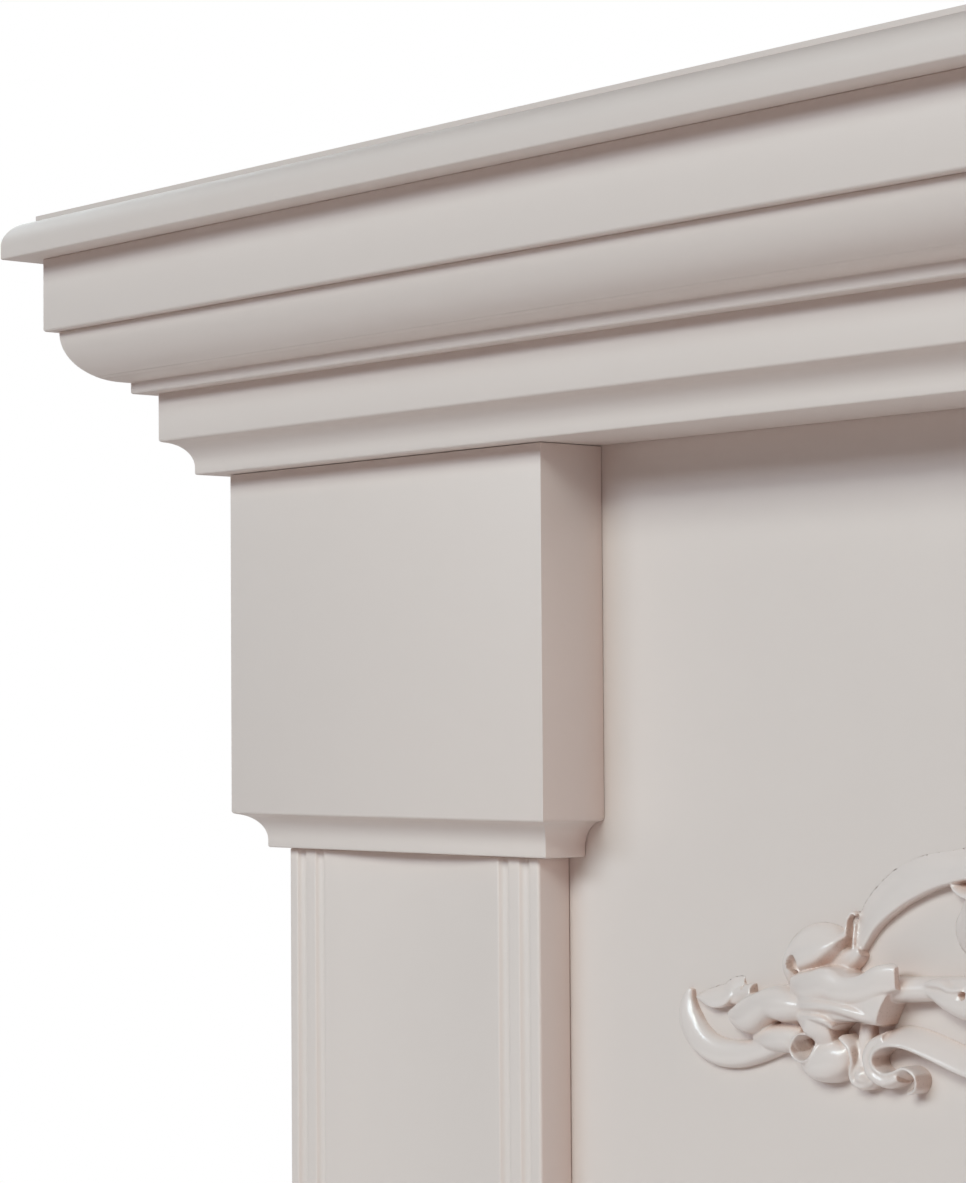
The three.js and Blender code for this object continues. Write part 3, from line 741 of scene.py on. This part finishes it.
LEFT_STROKES = (
    Stroke("end curl", Section.ROUND, (
        (-265.6, -10.6, 2.2, 1.2), (-266.8, -15.4, 3.2, 3.6),
        (-266, -21, 4.2, 5.3), (-262.4, -26.4, 4.6, 5.6),
        (-256.4, -30.6, 4.8, 5.4), (-248.6, -32.6, 4.8, 5.2),
        (-239, -32.2, 4.8, 4.9), (-229, -29.8, 4.8, 4.4),
        (-219, -26.4, 4.6, 4),
    )),
    Stroke("lip of the end curl", Section.BLADE, (
        (-262.5, -13, 2.2, 0.8), (-257.6, -12.8, 3.8, 2.4),
        (-252.4, -12.8, 4.6, 4), (-247.6, -11.8, 4.2, 4.2),
        (-244.8, -9, 3, 3.4), (-242, -7.2, 2, 2.4), (-239, -6.4, 1.2, 1.6),
    )),
    Stroke("soft wave beside the lip", Section.ROUND, (
        (-245, -13, 3, 2.4), (-239.4, -11.8, 3.4, 3.8), (-233, -11.2, 4.6, 4.4),
    )),
    Stroke("leaf behind the husk", Section.ROUND, (
        (-242.6, -18.3, 6, 2.4), (-238, -18.6, 8, 5.4),
        (-231.5, -17.6, 9.6, 7.2), (-222, -13.4, 11, 6.2),
        (-214.5, -13, 12, 6.8), (-207.7, -13.2, 12, 6), (-203.6, -13.4, 11, 5),
    )),
    Stroke("leaf under it", Section.ROUND, (
        (-232.6, -26.2, 3.6, 1.8), (-225, -25.6, 6.5, 4.4),
        (-217.4, -25, 7.8, 5.4), (-211.4, -24.6, 7.8, 5.4),
        (-206.5, -24.2, 7.2, 4.6),
    )),
    Stroke("body of the husk", Section.SHEET, (
        (-210, -11, 7, 6), (-201, -10, 11.2, 7.8), (-190, -9, 12.2, 8.4), (-180, -8.6, 12.4, 8.4),
        (-173, -8.2, 12.6, 8.6), (-168, -8.7, 12.8, 8.4), (-163.9, -10.8, 12.8, 7.4),
    )),
    Stroke("top ridge and flared lip of the husk", Section.SHEET, (
        (-209, -6.4, 9, 3.8), (-203, -5.6, 11.4, 4.8), (-196, -5, 13, 5.6), (-189.5, -4, 13.8, 5.8),
        (-183, -5.6, 14, 5.2), (-177, -5.6, 14, 5), (-171, -4.2, 14, 5),
        (-165, -1.6, 14, 5.2), (-160, -0.7, 13.4, 4.8),
        (-157, -0.5, 12.8, 3.9),
    ), undercut=10.6),
    Stroke("middle ridge of the husk", Section.ROUND, (
        (-207, -12.6, 9.6, 3.6), (-197, -11.9, 13, 3.6),
        (-187, -11.6, 14, 3.4), (-178.5, -12.6, 14, 3.6),
        (-172, -14, 12.8, 3.6), (-168, -15, 11.4, 3),
    )),
    Stroke("low ridge of the husk", Section.ROUND, (
        (-204, -16.4, 10.6, 2.6), (-196.4, -15.8, 12.8, 2.6),
        (-190, -16.6, 13, 2.6), (-187.6, -19, 11, 2),
    )),
    Stroke("low scallop of the husk", Section.SHEET, (
        (-204.4, -14.6, 9.6, 4.6), (-198.6, -17, 11.8, 6),
        (-195.4, -20.6, 11, 5.6), (-194.3, -24, 9, 4.4),
        (-193.9, -26.6, 7, 2.6),
    )),
    Stroke("leaf turned over above the husk", Section.TURNED, (
        (-212.6, -6.4, 5.5, 3), (-213.4, 0.8, 8, 6.8), (-207, 5.6, 10, 8.6), (-198.4, 8, 10.5, 8.2),
        (-192, 10, 9.6, 5.4), (-188.6, 11.4, 7, 2.6), (-186.8, 12.2, 4.6, 1.2),
    )),
    Stroke("fold under the leaf", Section.ROUND, (
        (-205, -2, 5, 3), (-196, 0.4, 5, 4.4), (-186, 4, 5, 4), (-180.5, 7, 5, 2),
    )),
    Stroke("near leg of the tendril", Section.ROUND, (
        (-187.6, 12.4, 4.4, 0.9), (-188, 15.4, 3.2, 0.7),
        (-187.4, 18.2, 2.8, 0.7), (-185.7, 19.7, 2.6, 0.7),
        (-184, 18.8, 2.4, 0.6),
    )),
    Stroke("far leg of the tendril", Section.ROUND, (
        (-184.5, 16.6, 2.4, 0.6), (-184.1, 14, 3.2, 0.7),
        (-183.8, 10.6, 4, 0.8), (-183.8, 6.6, 4.4, 0.8),
    )),
    Stroke("high scroll", Section.BLADE, (
        (-185.6, 3.4, 2.4, 2.2), (-182.6, 11.2, 3.4, 4.6), (-176.6, 20, 4, 6), (-165.6, 28.4, 4.3, 6.9),
        (-155, 33.2, 4.6, 6.8), (-144.3, 36, 5, 6), (-128, 38, 6.6, 5.4),
        (-111.5, 32.6, 9, 5.2), (-102.5, 21, 9, 4.8),
        (-104.6, 8.8, 9, 4), (-112.6, 3.6, 8.5, 3.4), (-120.6, 6.6, 8, 2.6), (-121, 11.4, 7, 1.8),
    )),
    Stroke("leaf in the notch of the high scroll", Section.BLADE, (
        (-138.6, 31.6, 4.8, 1.6), (-135, 29.4, 5.4, 2.2), (-128, 28.6, 6, 3), (-120, 29, 6, 3),
    )),
    Stroke("round leaf in the high scroll", Section.TURNED, (
        (-124, -1, 4.6, 2.6), (-127, 7, 5.8, 6.4), (-130.2, 15.8, 6.4, 10.8),
        (-131.6, 22.6, 5.4, 8.6), (-133.4, 28, 4, 3),
    )),
    Stroke("stem", Section.ROUND, (
        (-168, -5.2, 9.6, 4.4), (-158, -4.8, 9.6, 4.4), (-141, -3.6, 8, 4.1),
        (-118, -2.6, 8.5, 4), (-96, -5.4, 9, 4.2),
        (-60, -13, 8.5, 4.4), (-22, -10, 8, 5),
    )),
    Stroke("leaf wrapped round the stem", Section.ROUND, (
        (-152, -3.4, 7.6, 1), (-146, -4.8, 8.8, 2.8), (-139.4, -6, 9.8, 5.4),
        (-132, -6.6, 10, 7.6), (-124, -6, 9.6, 7.4),
        (-114, -4, 9, 3),
    )),
    Stroke("rim of the wrapped leaf", Section.ROUND, (
        (-149.6, -2.6, 8, 1.2), (-145, -2, 9.4, 2), (-140, -2, 10.2, 2.2),
        (-135.4, -3.4, 10.6, 2), (-130.6, -3, 10.4, 1.6),
    )),
    Stroke("bend of the low scroll", Section.ROUND, (
        (-161.6, -34.2, 7.6, 2), (-167.4, -36, 8, 2.7),
        (-172.8, -33.9, 8.4, 3), (-174.8, -28.8, 8.8, 3.1),
        (-172.2, -24.2, 9, 3), (-166.4, -21.6, 9, 3),
    )),
    Stroke("low scroll", Section.LIPPED, (
        (-159.4, -38.7, 5.5, 1.3), (-155.4, -37.2, 7, 1.9),
        (-154.6, -33.9, 8, 2.1), (-158.4, -32.2, 8, 2.1),
        (-162.6, -34, 8, 2.3), (-167.6, -35.3, 8, 2.7), (-172.3, -33.2, 8.5, 2.9),
        (-174, -28.6, 9, 3), (-171.4, -24, 9.5, 3.2),
        (-165, -21.1, 9.5, 3.5), (-157, -21, 9, 3.7), (-147, -23.4, 8.5, 4),
        (-132, -27.6, 8, 4.3), (-104, -33, 9, 4.8),
        (-79, -26, 9, 4.6), (-72.4, -9, 9, 4), (-80, 1.4, 8.5, 3.2),
        (-89, -2.4, 8, 2.6), (-88, -9, 7, 1.8),
    )),
    Stroke("left rim of the ribbon", Section.ROUND, (
        (-187.4, -22.4, 8, 1.6), (-183, -25.6, 8.5, 1.5),
        (-181.8, -29.8, 8, 1.4), (-183.4, -34.2, 7, 1.6),
        (-182.6, -37.2, 6.5, 2), (-179, -38.2, 6.5, 2),
        (-175.5, -37.1, 6, 1.8), (-172.5, -35.6, 6, 1.4),
    )),
    Stroke("web of the ribbon", Section.ROUND, (
        (-179.4, -15, 3, 3.4), (-179.4, -21, 4, 3.6), (-179.6, -28, 5, 3.8), (-179.2, -34.4, 6.6, 4.4),
    )),
    Stroke("round end of the ribbon", Section.ROUND, (
        (-181.4, -33, 6, 3), (-178.6, -35, 8, 3.8), (-175.6, -36.4, 6.5, 2.6),
    )),
    Stroke("rim of the cupped leaf", Section.ROUND, (
        (-197.6, -25.4, 8.5, 1.1), (-199.8, -30.2, 9.5, 1.1),
        (-203.4, -31.8, 9.5, 1.1), (-207.6, -30.9, 9, 1.1),
        (-209.6, -28, 9, 1.1), (-208.2, -24.6, 9, 1.1), (-204, -22.4, 9, 1.1), (-199, -22.8, 8.5, 1.1),
    )),
    Stroke("back of the cupped leaf", Section.ROUND, (
        (-208.6, -30.2, 5, 3), (-201.8, -32, 8.6, 6.6), (-194.6, -31, 9.5, 8),
        (-188.2, -29, 9, 6.6), (-184.4, -27, 7, 3.6),
    )),
    Stroke("leaf beside the middle", Section.DISHED, (
        (-76, -1, 6, 2), (-64, 8, 9, 6), (-47, 8.6, 9.5, 7), (-22, -3, 8, 5),
    )),
    Stroke("small leaf under the middle stem", Section.LIPPED, (
        (-62, -15, 7, 2), (-50, -22, 8, 4.6), (-38, -24, 7.5, 3.6), (-30, -18.6, 6, 1.6),
    )),
)  # fmt: skip

LEFT_PITS = (
    Pit(-208, 1.2, 3.4, 4.4),
    Pit(-203.8, -27, 4.4, 5.4),
    Pit(-130.4, -4.8, 1.4, 4),
    Pit(-238.4, -8.8, 0.9, 1),
)


@dataclass
class CarvedOrnament:
    """The moulded scroll of leaves: lofted strokes, merged, smoothed and pressed flat behind.

    Lengths that are drawn with the strokes are in millimetres.
    """

    paint: bpy.types.Material
    node: str = "carved_ornament"
    voxel: float = 0.45 * MM
    most_triangles: int = 190_000
    sink: float = 2.0
    steps_per_span: int = 8
    section_steps: int = 3
    palmette_radius: float = 33.0
    palmette_lobes: int = 7
    palmette_spread: float = 200.0
    pendant_length: float = 30.0
    pendant_lobes: int = 3
    pendant_spread: float = 80.0
    pendant_start: float = -4.0
    lobe_shortening: float = 0.22
    boss_radius: float = 9.0
    boss_drop: float = 2.0
    section_reach: float = 1.02
    soften_passes: int = 3
    pit_floor: float = 0.6 * MM
    pit_squareness: int = 4
    back_gap: float = 0.05 * MM
    back_merge: float = 0.02 * MM
    below_cornice: float = 189 * MM
    board_joint: float = 0.3 * MM
    smooth_turn: float = 62.0

    def __post_init__(self) -> None:
        """Finds the carving's back plane and its middle."""
        self.back_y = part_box("breast_panel")[0].y - self.back_gap
        self.middle_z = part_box("left_head_block")[1].z + self.board_joint - self.below_cornice

    def build(self) -> None:
        """Builds, flattens and dresses the carving."""
        pieces = [self.loft(stroke, side) for stroke in LEFT_STROKES for side in Side]
        pieces += [self.loft(stroke, Side.LEFT) for stroke in self.middle_strokes()]
        pieces.append(self.boss())
        deselect_all()
        for piece in pieces:
            piece.select_set(True)
        bpy.context.view_layer.objects.active = pieces[0]
        bpy.ops.object.join()
        carving = bpy.context.object
        carving.name = carving.data.name = "carved_scrollwork"
        self.merge(carving)
        self.sink_pits(carving)
        self.flatten_back(carving)
        self.thin(carving)
        bpy.ops.object.shade_smooth_by_angle(angle=math.radians(self.smooth_turn))
        finish_piece(carving, Slot.CARVING, self.paint, self.node)

    @staticmethod
    def smooth_rows(rows: Sequence[Sequence[float]], steps: int) -> np.ndarray:
        """Runs a smooth curve through rows of numbers.

        Args:
            rows: The rows to pass through.
            steps: New rows in each span.

        Returns:
            The finer rows.
        """
        given = np.array(rows, dtype=float)
        padded = np.vstack([given[:1], given, given[-1:]])
        fine = []
        for i in range(len(given) - 1):
            a, b, c, d = padded[i : i + 4]
            for t in np.arange(steps) / steps:
                cubic = 3 * (b - c) + d - a
                square = 2 * a - 5 * b + 4 * c - d
                fine.append(b + 0.5 * t * (c - a + t * (square + t * cubic)))
        fine.append(given[-1])
        return np.array(fine)

    def loft(self, stroke: Stroke, side: Side) -> bpy.types.Object:
        """Lofts one stroke as a closed solid that is sunk a little into the panel.

        Args:
            stroke: The stroke, as drawn on the left half.
            side: The half that it is wanted on.

        Returns:
            The lofted piece.
        """
        rows = self.smooth_rows(stroke.rows, self.steps_per_span)
        section = self.smooth_rows(stroke.section.value, self.section_steps)
        section = np.clip(section, -1.0, self.section_reach)
        run = np.gradient(rows[:, :2], axis=0)
        run /= np.maximum(np.linalg.norm(run, axis=1, keepdims=True), 1e-9)
        across = np.stack([run[:, 1], -run[:, 0]], axis=1)
        lateral, height = section[:, 0], np.maximum(section[:, 1], 0.0)
        x = rows[:, None, 0] + rows[:, None, 3] * lateral * across[:, None, 0]
        z = rows[:, None, 1] + rows[:, None, 3] * lateral * across[:, None, 1]
        share = np.linspace(0.0, 1.0, len(rows))[:, None]
        under = stroke.undercut * share**2
        lift = under + (rows[:, None, 2] - under) * height
        lift[:, [0, -1]] = under - self.sink * (1.0 - share if stroke.undercut else 1.0)
        mirror = -1.0 if side is Side.RIGHT else 1.0
        places = np.stack([mirror * x * MM, self.back_y - lift * MM, self.middle_z + z * MM], axis=2)
        stations, width = lift.shape
        faces = [tuple(range(width)), tuple((stations - 1) * width + i for i in reversed(range(width)))]
        for i in range(stations - 1):
            for j in range(width):
                k = (j + 1) % width
                faces.append((i * width + j, (i + 1) * width + j, (i + 1) * width + k, i * width + k))
        mesh = bpy.data.meshes.new(stroke.name.replace(" ", "_"))
        mesh.from_pydata(places.reshape(-1, 3).tolist(), [], faces)
        piece = bpy.data.objects.new(mesh.name, mesh)
        bpy.context.scene.collection.objects.link(piece)
        return piece

    def middle_strokes(self) -> list[Stroke]:
        """The lobes of the palmette and of the pendant under it."""
        strokes = []
        fans = (
            (self.palmette_lobes, self.palmette_spread, 90.0, self.palmette_radius, 0.0),
            (self.pendant_lobes, self.pendant_spread, -90.0, self.pendant_length, self.pendant_start),
        )
        for count, spread, direction, length, low in fans:
            widest = length * math.radians(spread) / count / 2
            for i in range(count):
                lean = math.radians(spread * (i / (count - 1) - 0.5))
                angle = math.radians(direction) + lean
                reach = length * (1.0 - self.lobe_shortening * (1.0 - math.cos(lean)))
                rows = tuple(
                    (reach * share * math.cos(angle), low + reach * share * math.sin(angle), crest, half)
                    for share, crest, half in (
                        (0.1, 6.0, 1.5),
                        (0.45, 8.5, widest * 0.62),
                        (0.8, 11.0, widest),
                        (0.93, 10.0, widest * 0.9),
                        (1.0, 6.0, widest * 0.4),
                    )
                )
                strokes.append(Stroke(f"fan lobe {direction:.0f} {i}", Section.DISHED, rows))
        return strokes

    def boss(self) -> bpy.types.Object:
        """The bead in the middle."""
        deselect_all()
        bpy.ops.mesh.primitive_uv_sphere_add(
            segments=48,
            ring_count=24,
            radius=self.boss_radius * MM,
            location=(0.0, self.back_y, self.middle_z - self.boss_drop * MM),
        )
        bpy.ops.object.transform_apply(location=True, rotation=True, scale=True)
        return bpy.context.object

    def merge(self, carving: bpy.types.Object) -> None:
        """Fuses the strokes into one skin and smooths where they meet."""
        make_active(carving)
        remesh = carving.modifiers.new("fuse", "REMESH")
        remesh.mode = "VOXEL"
        remesh.voxel_size = self.voxel
        remesh.adaptivity = 0.0
        bpy.ops.object.modifier_apply(modifier=remesh.name)
        smooth = carving.modifiers.new("soften", "SMOOTH")
        smooth.factor = 0.5
        smooth.iterations = self.soften_passes
        bpy.ops.object.modifier_apply(modifier=smooth.name)

    def sink_pits(self, carving: bpy.types.Object) -> None:
        """Presses the round holes into the skin."""
        count = len(carving.data.vertices)
        flat = np.empty(count * 3, dtype=np.float64)
        carving.data.vertices.foreach_get("co", flat)
        places = flat.reshape(-1, 3)
        deepest = self.back_y - self.pit_floor
        for pit in LEFT_PITS:
            for side in Side:
                x = -side.value * pit.across * MM
                z = self.middle_z + pit.up * MM
                share = np.hypot(places[:, 0] - x, places[:, 2] - z) / (pit.radius * MM)
                inside = (share < 1.0) & (places[:, 1] < deepest)
                fall = 1.0 - share[inside] ** self.pit_squareness
                sunk = places[inside, 1] + pit.depth * MM * fall
                places[inside, 1] = np.minimum(sunk, deepest)
        carving.data.vertices.foreach_set("co", places.reshape(-1))
        carving.data.update()

    def flatten_back(self, carving: bpy.types.Object) -> None:
        """Presses flat on the panel's face what lies behind it."""
        flat = np.empty(len(carving.data.vertices) * 3, dtype=np.float64)
        carving.data.vertices.foreach_get("co", flat)
        flat[1::3] = np.minimum(flat[1::3], self.back_y)
        carving.data.vertices.foreach_set("co", flat)
        carving.data.update()
        make_active(carving)
        bpy.ops.object.mode_set(mode="EDIT")
        bpy.ops.mesh.select_all(action="SELECT")
        bpy.ops.mesh.remove_doubles(threshold=self.back_merge)
        bpy.ops.object.mode_set(mode="OBJECT")

    def thin(self, carving: bpy.types.Object) -> None:
        """Drops the triangles that its flat stretches don't need."""
        triangles = sum(len(polygon.vertices) - 2 for polygon in carving.data.polygons)
        decimate = carving.modifiers.new("thin", "DECIMATE")
        decimate.ratio = min(1.0, self.most_triangles / triangles)
        bpy.ops.object.modifier_apply(modifier=decimate.name)
        LOG.info("carving thinned from %d triangles", triangles)


@dataclass(frozen=True)
class PhotographView:
    """The photograph's viewpoint.

    Its lens and sensor are in millimetres and its angles in degrees. Its place is in metres from the
    lower left front corner of the left head block.
    """

    lens: float = 97.32
    sensor: float = 36.0
    across: float = 1.0704
    outward: float = 0.7816
    above: float = 0.0506
    turn_left: float = 49.351
    tilt_up: float = 2.349
    roll: float = -0.393
    clip_end: float = 50.0

    def build(self) -> None:
        """Creates the camera."""
        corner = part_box("left_head_block")[0]
        yaw, pitch, roll = (math.radians(a) for a in (self.turn_left, self.tilt_up, self.roll))
        level = math.cos(pitch)
        forward = Vector((-math.sin(yaw) * level, math.cos(yaw) * level, math.sin(pitch)))
        right = Vector((math.cos(yaw), math.sin(yaw), 0.0))
        up = right.cross(forward)
        rolled_right = right * math.cos(roll) + up * math.sin(roll)
        rolled_up = up * math.cos(roll) - right * math.sin(roll)
        columns = Matrix((rolled_right, rolled_up, -forward)).transposed()
        bpy.ops.object.camera_add(location=corner + Vector((self.across, -self.outward, self.above)))
        camera = bpy.context.object
        camera.rotation_euler = columns.to_euler()
        camera.data.lens = self.lens
        camera.data.sensor_width = self.sensor
        camera.data.clip_end = self.clip_end
        bpy.context.scene.camera = camera


@dataclass(frozen=True)
class Softbox:
    """One soft light that faces the top of the left head block.

    Its angles are in degrees round that point, its lengths in metres and its power in watts.
    """

    name: str
    azimuth: float
    elevation: float
    distance: float
    width: float
    height: float
    power: float
    colour: tuple[float, float, float]

    def build(self, target: Vector) -> None:
        """Hangs the light and turns it to the target."""
        a, e = math.radians(self.azimuth), math.radians(self.elevation)
        away = Vector((math.sin(a) * math.cos(e), -math.cos(a) * math.cos(e), math.sin(e)))
        bpy.ops.object.light_add(type="AREA", location=target + away * self.distance)
        light = bpy.context.object
        light.name = self.name
        light.rotation_euler = away.to_track_quat("Z", "Y").to_euler()
        light.data.shape = "RECTANGLE"
        light.data.size = self.width
        light.data.size_y = self.height
        light.data.energy = self.power
        light.data.color = self.colour


@dataclass(frozen=True)
class Studio:
    """The pale floor, the soft lights and the white surroundings."""

    floor_size: float = 5.0
    floor_cells: int = 8
    floor_roughness: float = 0.7
    floor_dark_share: float = 0.97
    floor_colour: tuple[float, float, float] = (0.90, 0.85, 0.82)
    ambient: tuple[float, float, float] = (0.06, 0.015, 0.01)
    lights: tuple[Softbox, ...] = (
        Softbox("high_key", 12, 33, 12.0, 7.2, 3.3, 664.0, (0.88, 1.0, 0.963)),
        Softbox("low_key", -14, 22, 9.0, 5.4, 1.8, 288.0, (0.77, 0.906, 1.0)),
        Softbox("small_key", 28, 26, 6.0, 0.8, 0.6, 22.0, (0.88, 1.0, 0.963)),
        Softbox("warm_right_fill", 84, 8, 6.0, 2.4, 2.4, 60.0, (1.0, 0.72, 0.64)),
        Softbox("left_fill", -108, 14, 5.0, 3.0, 2.4, 90.0, (0.86, 0.97, 1.0)),
        Softbox("back_fill", 176, 32, 5.0, 3.6, 2.4, 110.0, (0.86, 0.97, 1.0)),
    )

    def build(self) -> None:
        """Sets the surroundings, the floor and the lights."""
        self._surroundings()
        deselect_all()
        bpy.ops.mesh.primitive_grid_add(
            x_subdivisions=self.floor_cells,
            y_subdivisions=self.floor_cells,
            size=self.floor_size,
        )
        floor = bpy.context.object
        floor.name = "studio_floor"
        tree = ShaderTree("pale_floor")
        tone = tree.mix(
            tree.noise(1.5, 3.0),
            (*self.floor_colour, 1.0),
            (*[c * self.floor_dark_share for c in self.floor_colour], 1.0),
        )
        surface = {"Base Color": tone, "Roughness": self.floor_roughness}
        shader = tree.node("ShaderNodeBsdfPrincipled", {}, surface)
        tree.node("ShaderNodeOutputMaterial", {}, {"Surface": tree.out(shader)})
        floor.data.materials.append(tree.material)
        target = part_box("left_head_block")[1]
        for light in self.lights:
            light.build(target)

    def _surroundings(self) -> None:
        """White to the camera, a dim warm light on the object, and plain display colours."""
        world = bpy.data.worlds.new("studio_surroundings")
        bpy.context.scene.world = world
        world.use_nodes = True
        nodes, links = world.node_tree.nodes, world.node_tree.links
        nodes.clear()
        path = nodes.new("ShaderNodeLightPath")
        seen = nodes.new("ShaderNodeBackground")
        seen.inputs["Color"].default_value = (1.0, 1.0, 1.0, 1.0)
        lit = nodes.new("ShaderNodeBackground")
        lit.inputs["Color"].default_value = (*self.ambient, 1.0)
        chosen = nodes.new("ShaderNodeMixShader")
        output = nodes.new("ShaderNodeOutputWorld")
        links.new(path.outputs["Is Camera Ray"], chosen.inputs[0])
        links.new(lit.outputs[0], chosen.inputs[1])
        links.new(seen.outputs[0], chosen.inputs[2])
        links.new(chosen.outputs[0], output.inputs["Surface"])
        bpy.context.scene.view_settings.view_transform = "Standard"


def main() -> None:
    """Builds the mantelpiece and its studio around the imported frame."""
    logging.basicConfig(level=logging.INFO, format="%(message)s")
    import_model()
    deselect_all()
    satin = SATIN_PAINT.material()
    gloss = GLOSS_PAINT.material()
    sizes = MantelSizes()
    PhotographView().build()
    Studio().build()
    Cornice(sizes, satin).build()
    for side in Side:
        Leg(side, sizes, satin).build()
    refined_board("breast_panel", satin)
    CarvedOrnament(gloss).build()


if __name__ == "__main__":
    main()
